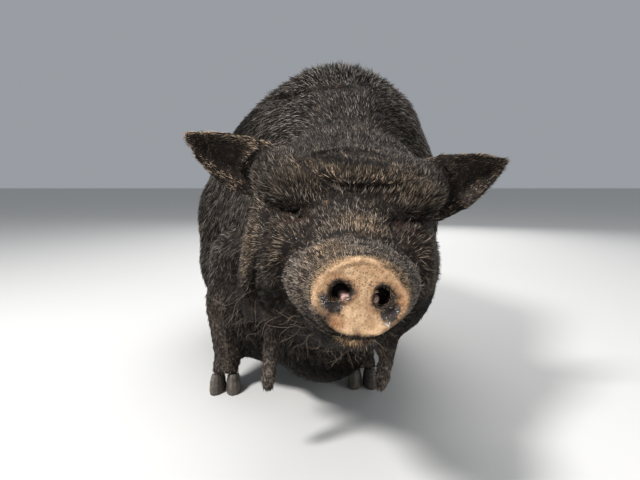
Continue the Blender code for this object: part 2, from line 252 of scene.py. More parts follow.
def in_head(points):
    """Places in the head's own frame."""
    return (points - SKULL) @ TO_HEAD


def from_head(points):
    return np.asarray(points) @ TO_HEAD.T + SKULL


def of_points(what):
    flat = np.empty(3 * len(hide_mesh.vertices), np.float32)
    hide_mesh.vertices.foreach_get(what, flat)
    return flat.reshape(-1, 3).astype(float)


def spots():
    return of_points("co")


def outward():
    return of_points("normal")


def put(points):
    hide_mesh.vertices.foreach_set("co", points.astype(np.float32).ravel())
    hide_mesh.update()


def push(heights):
    """Moves the hide's points outwards by the heights given, or inwards by negative ones."""
    put(spots() + outward() * heights[:, None])


def evened(values, rounds, hold=0.0):
    """Smooths values over the hide. Hold gives back thickness that evening takes away."""
    ends = np.empty(2 * len(hide_mesh.edges), np.int32)
    hide_mesh.edges.foreach_get("vertices", ends)
    a, b = ends.reshape(-1, 2).T
    count = len(hide_mesh.vertices)
    degree = np.maximum(np.bincount(ends, minlength=count), 1)

    def to_mean(values):
        """From each point's value to the mean of its neighbours'."""
        columns = [np.bincount(a, column[b], count) + np.bincount(b, column[a], count)
                   for column in values.reshape(count, -1).T]
        return (np.array(columns) / degree).T.reshape(values.shape) - values

    for _ in range(rounds):
        values = values + 0.5 * to_mean(values)
        if hold > 0:
            values = values - hold * to_mean(values)
    return values


def rise(values, low, high):
    """Nought below low, one above high, with a smooth rise between them."""
    t = np.clip((values - low) / (high - low), 0.0, 1.0)
    return t * t * (3 - 2 * t)


def fall(values, low, high):
    return 1 - rise(values, low, high)


def bell(values, middle, width):
    """One at the middle, fading to nought on both sides of it."""
    return np.exp(-((values - middle) / width) ** 2)


bm = bmesh.new()
for name in FLESH + EYES:
    part = bmesh.new()
    part.from_mesh(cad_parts[name].data)
    bmesh.ops.remove_doubles(part, verts=part.verts, dist=WELD)
    part.normal_update()
    swell_by = SOCKET_FILL if name in EYES else OVERLAP
    for vert in part.verts:
        vert.co += vert.normal * swell_by
    joined = bpy.data.meshes.new(name + "_copy")
    part.to_mesh(joined)
    part.free()
    bm.from_mesh(joined)
    bpy.data.meshes.remove(joined)
hide_mesh = bpy.data.meshes.new("hide")
bm.to_mesh(hide_mesh)
bm.free()
hide = set_down("hide", hide_mesh)
weave = hide.modifiers.new("weave", "REMESH")
weave.mode = "VOXEL"
weave.voxel_size = WEAVE
graph = bpy.context.evaluated_depsgraph_get()
hide_mesh = bpy.data.meshes.new_from_object(hide.evaluated_get(graph))
hide.modifiers.clear()
hide.data = hide_mesh

woven = spots()
slim = np.zeros(len(woven))
for name in FLESH:
    if name.startswith(SLIM):
        low, high = (np.array(corner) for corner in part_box(name))
        inside = (woven > low - SLIM_MARGIN) & (woven < high + SLIM_MARGIN)
        slim = np.maximum(slim, np.all(inside, axis=1))
slim = evened(slim, 4)[:, None]
put(evened(woven, 12) * (1 - slim) + evened(woven, 5, hold=0.45) * slim)


def finer(chosen):
    """Halves the spacing of the points where the function chooses, and leaves triangles."""
    bm = bmesh.new()
    bm.from_mesh(hide_mesh)
    wanted = chosen(np.array([vert.co for vert in bm.verts]))
    bm.verts.index_update()
    edges = [edge for edge in bm.edges if all(wanted[vert.index] for vert in edge.verts)]
    bmesh.ops.subdivide_edges(bm, edges=edges, cuts=1, use_grid_fill=True)
    bmesh.ops.triangulate(bm, faces=bm.faces)
    bm.to_mesh(hide_mesh)
    bm.free()


def on_face(points):
    at = in_head(points)
    return (at[:, 1] < -0.022) & (at[:, 2] > -0.145) & (np.abs(at[:, 0]) < 0.127)


def round_eyes_and_disc(points):
    at = in_head(points)
    chosen = (at[:, 1] < -0.196) & (np.abs(at[:, 0]) < 0.056)
    for middle in middles:
        chosen |= np.linalg.norm(points - np.array(middle), axis=1) < 0.024
    return chosen


finer(on_face)
finer(round_eyes_and_disc)
put(evened(spots(), 2, hold=0.5))

# Coat of each part: its depth over the hide, the bristles' length and breadth, how many grow
# on a square centimetre, and how steeply they stand, in degrees.
COAT = {
    "trunk": (0.005, 0.021, 0.0013, 10.2, 10),
    "neck": (0.0042, 0.013, 0.001, 25.0, 11),
    "head": (0.003, 0.0098, 0.0008, 42.0, 11),
    "lower_jaw": (0.0025, 0.0105, 0.0008, 27.0, 18),
    "snout": (0.0014, 0.0062, 0.0006, 100.0, 16),
    "ear": (0.0016, 0.008, 0.0007, 42.0, 11),
    "tail": (0.0025, 0.022, 0.0011, 30.0, 14),
    "wattle": (0.0008, 0.005, 0.0006, 34.0, 24),
    "leg": (0.002, 0.009, 0.0009, 20.0, 10),
}

owners = []
corners = []
faces = []
for name in FLESH:
    node_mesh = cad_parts[name].data
    start = len(corners)
    corners += [vert.co for vert in node_mesh.vertices]
    faces += [[start + i for i in face.vertices] for face in node_mesh.polygons]
    owners += [name] * len(node_mesh.polygons)
flesh = BVHTree.FromPolygons(corners, faces)
part_of = np.array([owners[flesh.find_nearest(vert.co)[2]] for vert in hide_mesh.vertices])


def on(*prefixes):
    """True where the hide covers a part whose name starts with one of these."""
    return np.any([np.char.startswith(part_of, prefix) for prefix in prefixes], axis=0)


def even_out(part, rounds, hold):
    """Evens the hide's shape, as far as the part's share of each point goes."""
    points = spots()
    put(points + part[:, None] * (evened(points, rounds, hold) - points))


def fill_beside(part, rounds, most, place=1.0):
    """Fills the crease where a part meets the rest, by up to the most given."""
    share = evened(part.astype(float), rounds // 5)
    share = rise(4 * share * (1 - share), 0.05, 0.5) * place
    points = spots()
    filled = ((evened(points, rounds) - points) * outward()).sum(1)
    push(evened(np.clip(filled, 0.0, most) * share, 4))


# The neck runs smoothly from the crown into the shoulders. The ears' edges are evened once
# more, and their roots spread into the crown and the temple.
_, y, z = spots().T
upper_neck = rise(z, 0.34, 0.38) * fall(y, -0.08, 0.0)
even_out(evened(on("neck", "trunk").astype(float), 6) * upper_neck, 60, 0.3)
crown = rise(spots()[:, 2], 0.345, 0.375)
even_out(evened(on("ear").astype(float), 2), 10, 0.48)
fill_beside(on("ear"), 45, 0.009)
fill_beside(on("wattle"), 30, 0.006)
fill_beside(on("head"), 220, 0.022, crown)

# The hide is drawn in by the coat's depth, except on the bare snout disc.
DISC_AT = np.array((0.0, -0.2419, -0.0786))  # middle of the disc's face
DISC_TILT = math.radians(8)
DISC_UP = np.array((0.0, math.sin(DISC_TILT), math.cos(DISC_TILT)))
DISC_OUT = np.array((0.0, -math.cos(DISC_TILT), math.sin(DISC_TILT)))
DISC_HALF_WIDTH = 0.0445
DISC_HALF_HEIGHT = 0.037


def on_disc(points):
    """Places on the snout disc: across, up and out from its face, and how far out to its rim."""
    at = in_head(points) - DISC_AT
    up = at @ DISC_UP
    narrower = 0.16 * rise(up, 0.004, 0.034) + 0.15 * rise(-up, 0.006, 0.032)
    narrower += 0.1 * rise(up, -0.002, 0.02) * (at[:, 0] > 0)
    width = DISC_HALF_WIDTH * (1.01 - narrower)
    rim = np.sqrt((at[:, 0] / width) ** 2 + (up / DISC_HALF_HEIGHT) ** 2)
    return at[:, 0], up, at @ DISC_OUT, rim


coat = np.zeros((len(part_of), 5))
for prefix, values in COAT.items():
    coat[on(prefix)] = values
coat = evened(coat, 10)
across, up, out, rim = on_disc(spots())
coat[:, 0] *= 1 - rise(out, -0.022, -0.015) * rise(-rim, -1.35, -1.15)
push(-coat[:, 0])
put(evened(spots(), 2, hold=0.5))


# ---------------------------------------------------------------- folds of the head and neck
# The hide is thick and lies in rolls: one across the forehead between two furrows, heavy
# brows, a furrow round the muzzle, grooves behind the cheek, and creases on the neck.


def along(path, step=0.003):
    """Points close together on a path, moved onto the hide and evened."""
    path = np.array(path)
    steps = [path[:1]]
    for a, b in zip(path, path[1:]):
        count = max(int(np.linalg.norm(b - a) / step), 1)
        t = np.arange(1, count + 1)[:, None] / count
        steps.append(a + (b - a) * t)
    here = spots()
    path = np.array([here[np.argmin(((here - point) ** 2).sum(1))]
                     for point in np.concatenate(steps)])
    for _ in range(3):
        path[1:-1] = (path[:-2] + 2 * path[1:-1] + path[2:]) / 4
    return path


def away_from(points, path):
    """Distance of each point from the path, and how near it is to the path's ends, 0 to 1."""
    best = np.full(len(points), np.inf)
    where = np.zeros(len(points))
    for i, (a, b) in enumerate(zip(path, path[1:])):
        run = b - a
        t = np.clip((points - a) @ run / max(run @ run, 1e-12), 0, 1)
        distance = np.linalg.norm(points - (a + t[:, None] * run), axis=1)
        closer = distance < best
        best = np.where(closer, distance, best)
        where = np.where(closer, (i + t) / (len(path) - 1), where)
    return best, np.minimum(where, 1 - where) * 2


def furrow(path, width, depth, lip=0.0, taper=0.35):
    """Presses a furrow along a path, with a swollen lip on both sides, fading at its ends."""
    distance, inside = away_from(spots(), along(path))
    shape = lip * bell(distance, 2.3 * width, 1.2 * width) - depth * bell(distance, 0, width)
    push(shape * rise(inside, -0.02, taper))


def swell(centre, radii, height, toward=None):
    """Raises a rounded place on the head, or sinks it with a negative height."""
    points = spots()
    offset = (points - from_head(centre)) @ TO_HEAD / np.array(radii)
    shape = height * np.exp(-(offset ** 2).sum(1))
    move = outward() if toward is None else np.array(toward) @ TO_HEAD.T
    put(points + move * shape[:, None])


def on_side(side, places):
    """A place or path given for the pig's left, and its mirror image for the right."""
    return np.array(places) * (side, 1, 1)


NAPE_FURROW = from_head(((-0.063, -0.037, 0.048), (-0.045, -0.034, 0.055), (-0.022, -0.029, 0.062),
                         (0.004, -0.025, 0.065), (0.028, -0.028, 0.062), (0.05, -0.034, 0.055)))
BROW_FURROW = from_head(((-0.058, -0.066, 0.032), (-0.048, -0.075, 0.024), (-0.03, -0.082, 0.019),
                         (-0.008, -0.087, 0.016), (0.018, -0.085, 0.017), (0.042, -0.078, 0.02),
                         (0.066, -0.074, 0.023), (0.084, -0.068, 0.024)))
TEMPLE_FURROW = from_head(((-0.065, -0.038, 0.048), (-0.06, -0.056, 0.038),
                           (-0.055, -0.07, 0.029)))
swell((0.002, -0.074, 0.032), (0.052, 0.02, 0.014), 0.0045)
swell((0.0, -0.038, 0.055), (0.042, 0.016, 0.012), -0.003)
furrow(NAPE_FURROW, 0.0026, 0.005, 0.0014)
furrow(BROW_FURROW, 0.0032, 0.0052, 0.0016)
furrow(TEMPLE_FURROW, 0.0045, 0.0042, 0.001)
# The temples are drawn back, so that the brows run on into the ears.
for side in (-1, 1):
    swell(on_side(side, (0.108, -0.052, 0.026)), (0.022, 0.03, 0.026), 0.005,
          on_side(side, (-0.3, 0.95, 0.0)))

# Nose bridge: a low ridge between two soft hollows that run down from the eyes' inner corners.
BRIDGE_HOLLOW = ((0.046, -0.098, -0.018), (0.046, -0.12, -0.032), (0.05, -0.138, -0.046))
for side in (-1, 1):
    furrow(from_head(on_side(side, BRIDGE_HOLLOW)), 0.007, 0.003, 0.001)
# The muzzle is a barrel that stands clear of the bridge and the cheeks.
MUZZLE_TOP = ((-0.062, -0.15, -0.056), (-0.046, -0.14, -0.044), (-0.024, -0.148, -0.036),
              (0.002, -0.152, -0.033), (0.028, -0.146, -0.036), (0.048, -0.15, -0.046),
              (0.06, -0.168, -0.062))
MUZZLE_SIDE = ((0.056, -0.13, -0.047), (0.068, -0.13, -0.058), (0.075, -0.131, -0.074),
               (0.077, -0.12, -0.098), (0.072, -0.096, -0.128))
furrow(from_head(MUZZLE_TOP), 0.008, 0.0014, 0.0006)
for side in (-1, 1):
    furrow(from_head(on_side(side, MUZZLE_SIDE)), 0.0085, 0.0062, 0.0024)
# Cheek grooves: deep on the right, where the jowl's roll hangs behind, shallow on the left.
RIGHT_CHEEK = from_head(((-0.103, -0.062, -0.026), (-0.104, -0.078, -0.04), (-0.104, -0.088, -0.058),
                         (-0.107, -0.084, -0.078), (-0.111, -0.074, -0.098), (-0.112, -0.066, -0.12),
                         (-0.105, -0.056, -0.146)))
LEFT_CHEEK = from_head(((0.103, -0.055, -0.03), (0.106, -0.062, -0.06), (0.104, -0.066, -0.095)))
JOWL_SLIT = from_head(((-0.129, -0.046, -0.113), (-0.122, -0.058, -0.106), (-0.116, -0.066, -0.1)))
furrow(RIGHT_CHEEK, 0.0062, 0.015, 0.0034)
furrow(LEFT_CHEEK, 0.007, 0.0065, 0.0018)
furrow(JOWL_SLIT, 0.0022, 0.0035, 0.001)

# Neck: one long crease over the shoulders and two shorter ones, in the body's frame.
NECK_CREASE = ((-0.082, -0.033, 0.49), (-0.063, -0.07, 0.489), (-0.046, -0.105, 0.487),
               (-0.018, -0.127, 0.489), (0.006, -0.142, 0.49), (0.044, -0.146, 0.494),
               (0.069, -0.144, 0.493))
RIGHT_NECK_CREASE = ((-0.11, -0.11, 0.425), (-0.08, -0.165, 0.42), (-0.05, -0.2, 0.418))
LEFT_NECK_CREASE = ((0.11, -0.196, 0.43), (0.15, -0.16, 0.42), (0.172, -0.12, 0.4))
furrow(NECK_CREASE, 0.0038, 0.0062, 0.0014)
furrow(RIGHT_NECK_CREASE, 0.006, 0.0016, 0.0006)
furrow(LEFT_NECK_CREASE, 0.006, 0.0016, 0.0006)


# ---------------------------------------------------------------- eyelids
# The eyes are small and deep. Thick lids close over each ball but for a narrow slit, and the
# brow hangs over the upper lid as a heavy roll.

BALL = 0.0115
LID = 0.0016                 # thickness of the lid over the ball
LID_EDGE = 0.0009
BALL_INSET = 0.0035          # how far behind the ball's face the hide lies in the slit
SLIT_HALF_LENGTH = 0.0098
SLIT_HALF_HEIGHT = 0.0027
SLIT_SLOPE = 0.05
SLIT_LOW = 0.0008


def close_lids(middle, side):
    """Draws the hide over one eyeball and opens the slit between its lids."""
    points = spots()
    look = np.array((side * 0.36, -0.93, 0.02)) @ TO_HEAD.T
    look /= np.linalg.norm(look)
    aside = np.cross(look, np.array(UP)) * side * -1
    aside /= np.linalg.norm(aside)
    rise_to = np.cross(aside, look) * side
    rise_to *= np.sign(rise_to @ np.array(UP))
    offset = points - np.array(middle)
    a, b, f = offset @ aside, offset @ rise_to, offset @ look
    span = np.hypot(a, b)
    bulge = np.sqrt(np.maximum((BALL + LID) ** 2 - span ** 2, 0.0))
    covered = np.where(span < BALL, np.maximum(f, bulge), f)
    line = SLIT_SLOPE * a - SLIT_LOW
    opening = SLIT_HALF_HEIGHT * np.sqrt(np.clip(1 - (a / SLIT_HALF_LENGTH) ** 2, 0, 1))
    gap = (np.abs(b - line) - opening) / LID_EDGE
    open_here = np.where(np.abs(a) < SLIT_HALF_LENGTH, fall(gap, -1.0, 0.4), 0.0)
    ball_face = np.sqrt(np.maximum(BALL ** 2 - np.minimum(span, BALL * 0.98) ** 2, 0.0))
    placed = covered * (1 - open_here) + (ball_face - BALL_INSET) * open_here
    placed += LID_EDGE * (bell(gap, 1.1, 0.9) * (np.abs(a) < SLIT_HALF_LENGTH * 1.1))
    blend = (f > -0.4 * BALL) * fall(span, BALL * 1.15, BALL * 1.6)
    put(points + look * ((placed - f) * blend)[:, None])


EYE_LINE = ((0.052, -0.094, -0.0165), (0.062, -0.097, -0.015), (0.078, -0.094, -0.0145),
            (0.092, -0.082, -0.014), (0.104, -0.066, -0.011))
POUCH_FOLD = ((0.052, -0.1, -0.03), (0.066, -0.104, -0.038), (0.084, -0.098, -0.04),
              (0.098, -0.082, -0.034))
for middle, side in zip(middles, (1, -1)):
    close_lids(middle, side)
    furrow(from_head(on_side(side, EYE_LINE)), 0.0022, 0.004, 0.0)
    furrow(from_head(on_side(side, POUCH_FOLD)), 0.003, 0.003, 0.0008)
    # The brow hangs over the eye in two steps, and a pouch lies under it.
    swell(on_side(side, (0.08, -0.09, 0.012)), (0.03, 0.026, 0.012), 0.005,
          on_side(side, (0.1, -0.8, -0.3)))
    swell(on_side(side, (0.077, -0.094, -0.0015)), (0.024, 0.026, 0.0088), 0.0125,
          on_side(side, (0.04, -0.48, -0.88)))
    swell(on_side(side, (0.078, -0.094, -0.031)), (0.026, 0.018, 0.009), 0.0034)


# ---------------------------------------------------------------- snout disc, nostrils and mouth
# The disc is a tough, nearly flat plate, broadest at the nostrils, with a rolled rim and a
# notch below. The nostrils are round holes with a slit that runs out and down from each.

NOSTRIL_OUT = 0.0195
NOSTRIL_UP = 0.0035
NOSTRIL_UNEVEN = 0.0012      # the right one sits so much higher, and the left one lower
NOSTRIL_DEPTH = 0.015


def nostril_places(points, side):
    """How far from a nostril's middle each point is, in radii, and how far down its slit."""
    across, up, _, _ = on_disc(points)
    a = side * across - NOSTRIL_OUT
    b = up - NOSTRIL_UP + NOSTRIL_UNEVEN * side
    hole = np.hypot((a * 0.92 + b * 0.39) / 0.0094, (b * 0.92 - a * 0.39) / 0.0084)
    turn = np.arctan2(b, a)
    hole *= 1 + 0.09 * np.sin(2 * turn + 0.7 + side) + 0.06 * np.sin(3 * turn - 1.2 * side)
    down = (a * 0.62 - b * 0.78) / 0.016
    slit = bell(a * 0.78 + b * 0.62, 0, 0.0056) * rise(down, 0.0, 0.5) * fall(down, 0.8, 1.35)
    return hole, slit


def septum_side(points, side):
    """How far each point is from the moist swelling on the inner wall of a nostril, in radii."""
    across, up, _, _ = on_disc(points)
    if side < 0:
        return np.hypot((-across - 0.016) / 0.0045, (up - 0.001) / 0.0044)
    return np.hypot((across - 0.0148) / 0.0034, (up + 0.0008) / 0.0044)


points = spots()
across, up, out, rim = on_disc(points)
face_shape = -0.0012 * (1 - rim ** 2)
face_shape += 0.0011 * bell(rim, 0.9, 0.11)
face_shape -= 0.0012 * bell(rim, 0.8, 0.04) * rise(up, 0.022, 0.03)
face_shape -= 0.0035 * bell(across, 0, 0.0042) * rise(-up, 0.022, 0.036)
face_shape += 0.0016 * np.exp(-(across / 0.0085) ** 2 - ((up - 0.004) / 0.018) ** 2)
for side in (-1, 1):
    hole, slit = nostril_places(points, side)
    face_shape += 0.0016 * bell(hole, 1.3, 0.26)
    face_shape -= 0.0022 * slit
    wall = 1 - 0.62 * fall(septum_side(points, side), 0.3, 1.3)
    face_shape -= NOSTRIL_DEPTH * fall(hole, 0.5, 1.12) * wall
flat_part = fall(rim, 0.9, 1.04) * rise(out, -0.02, -0.014)
put(points + DISC_OUT @ TO_HEAD.T * ((face_shape - out) * flat_part)[:, None])
# A groove sets the disc's edge off from the haired muzzle behind it.
across, up, out, rim = on_disc(spots())
push(-0.0022 * bell(out, -0.0165, 0.004) * (rim > 0.75) * (rim < 1.5))

HALF_MOUTH = ((-0.06, -0.118, -0.096), (-0.054, -0.14, -0.105), (-0.045, -0.17, -0.115),
              (-0.03, -0.198, -0.121), (-0.012, -0.211, -0.123))
MOUTH = from_head(np.concatenate((HALF_MOUTH, on_side(-1, HALF_MOUTH)[::-1])))
furrow(MOUTH, 0.002, 0.0036, 0.0006, taper=0.15)
furrow(MOUTH[3:7], 0.002, 0.004, 0.001, taper=0.4)
swell((0.0, -0.211, -0.131), (0.016, 0.01, 0.005), 0.0022)


# ---------------------------------------------------------------- legs, tassels and flanks
# Loose hide rings the short legs, the tassels are lumpy with a pinched end, and deep folds
# lie behind the elbow, before the thigh and under the brisket.


def rings(name, low, high, spacing, depth):
    """Uneven rings of loose hide round an upright part, between two heights."""
    x, y, z = spots().T
    middle = (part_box(name)[0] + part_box(name)[1]) / 2
    turn = np.arctan2(y - middle.y, x - middle.x)
    wander = 0.35 * np.sin(2 * turn + 1.3) + 0.22 * np.sin(5 * turn + 40 * z)
    wave = np.cos(math.tau * (z / spacing + wander))
    fade = rise(z, low, low + 0.02) * fall(z, high - 0.02, high)
    push(evened(depth * (wave - 0.5) * fade * on(name), 1))


for side_name in ("left", "right"):
    rings("leg_front_" + side_name, 0.03, 0.19, 0.0125, 0.0018)
    rings("leg_hind_" + side_name, 0.03, 0.15, 0.017, 0.0011)
    tassel = "wattle_" + side_name
    low, high = (corner.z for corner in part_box(tassel))
    rings(tassel, low + 0.004, high, 0.013, 0.0006)
    points = spots()
    pinch = 0.0018 * bell(points[:, 2] - low, 0.0105, 0.0016)
    lumps = 0.0011 * np.sin(points @ (310.0, 190.0, 120.0)) * np.sin(points @ (-140.0, 330.0, 260.0))
    push((lumps - pinch) * on(tassel))

ELBOW = ((0.187, 0.024, 0.262), (0.183, 0.004, 0.232), (0.179, -0.006, 0.19),
         (0.169, -0.004, 0.15), (0.153, 0.014, 0.108))
FLANK = ((0.181, 0.19, 0.196), (0.177, 0.222, 0.19), (0.169, 0.246, 0.162),
         (0.145, 0.256, 0.104))
BRISKET = ((-0.075, -0.215, 0.13), (-0.03, -0.262, 0.122), (0.02, -0.268, 0.12),
           (0.068, -0.235, 0.13))
ELBOW_ASIDE = (0.004, 0, 0)  # the chest's middle line stands to the left, the loins' to the right
FLANK_ASIDE = ((-0.036, 0, 0), (-0.034, 0, 0), (-0.033, 0, 0), (-0.032, 0, 0))
for side in (-1, 1):
    furrow(on_side(side, ELBOW) + ELBOW_ASIDE, 0.012, 0.0048, 0.0022, taper=0.6)
    furrow(on_side(side, FLANK) + FLANK_ASIDE, 0.012, 0.0052, 0.0024, taper=0.6)
furrow(BRISKET, 0.007, 0.005, 0.002)


# ---------------------------------------------------------------- markings
# The same markings tint the hide and the coat: brown bristle tips on brows, ears and jowl,
# dried mud on the disc and lip, raw skin by the eyes, and wet dark smears under the nostrils.
# Painted light and shade are laid in with them: bristle tips lighter on ridges, ear rims and the
# right side of the face, darker in folds, creases, the eye slits and under the jaw and body;
# near-black nostrils with a painted highlight inside, and painted glints on the smears.

hide_mesh.shade_smooth()
points = spots()
normals = outward()
at = in_head(points)
across, up, out, rim = on_disc(points)
x, y, z = points.T
nx, ny, nz = normals.T
head_x, head_y, head_z = at.T
near_disc = rise(out, -0.03, -0.02)
trunk, neck, ear, wattle = on("trunk"), on("neck"), on("ear"), on("wattle")
on_head = on("head", "snout", "lower_jaw")


def patch(centre, radii):
    """One at the middle of a rounded place on the head, fading to nought outside it."""
    return np.exp(-(((at - centre) / radii) ** 2).sum(1))


def both(centre, radii):
    return patch(centre, radii) + patch(on_side(-1, centre), radii)


def on_plate(centre, radii):
    """One at the middle of a rounded place on the disc's face, fading to nought outside it."""
    far = ((across - centre[0]) / radii[0]) ** 2 + ((up - centre[1]) / radii[1]) ** 2
    return np.exp(-far) * near_disc


def beside(path, width):
    """One along a crease, fading to nought beside it."""
    distance, _ = away_from(points, along(path))
    return bell(distance, 0, width)


def summed(*rows):
    """Several places together. A row has its strength, its kind, and where and how wide it is."""
    return sum(strength * kind(where, width) for strength, kind, where, width in rows)


def ripple(places, size, seed):
    """A smooth wandering value, about -1 to 1, whose waves are about the given size."""
    draw = np.random.default_rng(seed)
    total = np.zeros(len(places))
    for _ in range(7):
        way = draw.normal(size=3)
        way *= math.tau / size / np.linalg.norm(way) * draw.uniform(0.6, 1.5)
        total += np.sin(places @ way + draw.uniform(0, math.tau))
    return total / 3.0


uneven = 0.035 * ripple(at, 0.016, 21) + 0.02 * ripple(at, 0.006, 22)
mud = fall(rim + uneven, 0.88, 1.16) * rise(out + 0.04 * uneven, -0.0135, -0.004)
mud *= rise(up + 0.02 * uneven, -0.0355, -0.03)
mud *= 1 - 0.9 * on_plate((-0.033, -0.0215), (0.0085, 0.0075))
mud = np.maximum(mud, 0.95 * patch((0.0, -0.213, -0.13), (0.014, 0.016, 0.008)))
mud = np.maximum(mud, 0.16 * patch((0.006, -0.124, -0.018), (0.022, 0.014, 0.01)))
dust = bell(rim, 1.02, 0.2) * rise(out, -0.045, -0.005) * rise(up, -0.034, 0.0)
stain = 0.9 * on_plate((-0.0345, -0.015), (0.007, 0.008))
stain = np.maximum(stain, 0.8 * on_plate((0.0, -0.0345), (0.004, 0.005)))
rust = summed((1.6, on_plate, (-0.0225, -0.0215), (0.0085, 0.008)),
              (1.3, on_plate, (0.0345, -0.002), (0.0065, 0.013)),
              (0.75, on_plate, (-0.035, 0.001), (0.006, 0.011)),
              (0.5, on_plate, (0.017, 0.0285), (0.016, 0.005)))
# White flecks on the wet smears: froth, with painted glints of wet.
froth_and_glints = summed((1.0, on_plate, (-0.0335, -0.005), (0.0055, 0.0065)),
               (1.0, on_plate, (-0.019, -0.009), (0.0045, 0.0026)),
               (1.0, on_plate, (0.0245, -0.0205), (0.0065, 0.0065)),
               (0.8, on_plate, (0.033, -0.008), (0.003, 0.004)))
pored = 0.18 + on_plate((0.004, 0.017), (0.026, 0.015))
smear, pink_and_highlight, nostril_shade = np.zeros((3, len(points)))
for side in (-1, 1):
    hole, slit = nostril_places(points, side)
    # Painted shade: the nostrils' insides and the slits running from them are painted near black.
    dark_here = np.maximum(fall(hole, 0.8, 1.15), 0.8 * slit)
    nostril_shade = np.maximum(nostril_shade, dark_here * near_disc)
    run = np.hypot((side * across - 0.0265) / (0.0114 - 0.001 * side),
                   (up + 0.0085 + 0.003 * side) / 0.0112)
    wet_here = np.maximum(fall(run + 3 * uneven, 0.2, 1.5), fall(hole, 0.9, 1.6))
    smear = np.maximum(smear, wet_here * near_disc)
    stain = np.maximum(stain, bell(hole, 1.1, 0.55))
    rust = np.maximum(rust, 0.6 * bell(hole, 1.5, 0.45))
    # Pink on the nostrils' inner walls: moist pink skin, with a painted highlight placed on the wall
    # that faces the light.
    pink_and_highlight = np.maximum(pink_and_highlight, fall(septum_side(points, side), 0.5, 1.2) * near_disc)
corner = both((0.055, -0.098, -0.016), (0.007, 0.012, 0.006))
raw = 0.8 * corner + 0.4 * both((0.074, -0.096, -0.028), (0.026, 0.02, 0.01))

# Painted shade: along each eye slit the hide and the bristle tips are darkened, as the shadow of the
# hanging brow.
RIGHT_SLIT = from_head(((-0.1, -0.06, -0.0075), (-0.089, -0.07, -0.0095), (-0.076, -0.091, -0.0095),
                        (-0.066, -0.092, -0.0115), (-0.056, -0.092, -0.015)))
LEFT_SLIT = from_head(((0.05, -0.092, -0.0145), (0.06, -0.09, -0.0125), (0.07, -0.092, -0.011),
                       (0.084, -0.088, -0.0095), (0.102, -0.055, -0.0095)))
slit_shade = beside(RIGHT_SLIT, 0.0085) + beside(LEFT_SLIT, 0.0095)
# Painted shade: along these creases and furrows the hide and the bristle tips are darkened.
crease = summed((0.95, beside, NAPE_FURROW, 0.0032), (0.9, beside, BROW_FURROW, 0.0042),
                (0.55, beside, TEMPLE_FURROW, 0.0045), (1.6, beside, NECK_CREASE, 0.0062),
                (1.0, beside, RIGHT_CHEEK, 0.0085), (0.5, beside, LEFT_CHEEK, 0.008),
                (0.8, beside, JOWL_SLIT, 0.0025), (0.8, beside, MOUTH, 0.004),
                (0.6, beside, from_head(on_side(-1, MUZZLE_SIDE)), 0.009),
                (0.5, beside, from_head(MUZZLE_SIDE), 0.008))
crease = np.clip(crease, 0, 1)
near_crease = np.clip(beside(NAPE_FURROW, 0.009) + beside(NECK_CREASE, 0.013), 0, 1)

# Bristle tips are painted lighter on the ridges of the hide and darker down in its folds: painted
# light and shade by the hide's shape.
sunk = evened(((evened(points, 10) - points) * normals).sum(1), 2)
# Painted light: the ears' upward-facing rims get lighter, browner bristle tips.
lit_ear_rim = evened(ear * rise(evened(nz, 3), -0.1, 0.35), 3)
# Painted sheen: bristle tips along the roll of the right ear's upper rim are made lighter. The roll
# also grows more and finer bristles.
EAR_ROLL = from_head(((-0.178, -0.011, 0.07), (-0.153, -0.006, 0.065), (-0.134, -0.001, 0.058),
                      (-0.117, -0.002, 0.051)))
ear_roll = beside(EAR_ROLL, 0.0085) * on("ear_right")
OVAL = from_head(((-0.04, -0.042, 0.051), (-0.012, -0.06, 0.047), (0.015, -0.061, 0.047),
                  (0.042, -0.05, 0.046)))
brown = summed((0.55, both, (0.078, -0.078, 0.016), (0.045, 0.035, 0.02)),  # brows
               (0.7, patch, (0.0, -0.075, 0.03), (0.055, 0.022, 0.012)),  # forehead roll
               (0.6, both, (0.06, -0.052, 0.04), (0.03, 0.025, 0.018)),
               (0.9, patch, (-0.034, -0.176, -0.046), (0.019, 0.022, 0.014)),  # muzzle's top
               (0.8, patch, (0.01, -0.13, -0.026), (0.03, 0.022, 0.016)),  # bridge
               (0.7, patch, (-0.124, -0.05, -0.075), (0.014, 0.03, 0.06)),  # jowl
               (0.4, both, (0.088, -0.09, -0.06), (0.03, 0.04, 0.04)),  # cheeks
               (0.35, patch, (0.0, -0.06, -0.15), (0.08, 0.08, 0.04)),  # throat
               (0.35, beside, OVAL, 0.015))
brown += 0.3 * on("snout") + 0.45 * on("ear", "lower_jaw") + 0.35 * on("leg") + 0.2 * wattle
brown += 0.15 * on("head", "ear")
brown = evened(np.clip(brown + 0.12 * ripple(points, 0.09, 3), 0, 1), 3)
brown = np.clip(brown + 0.35 * lit_ear_rim, 0, 1)
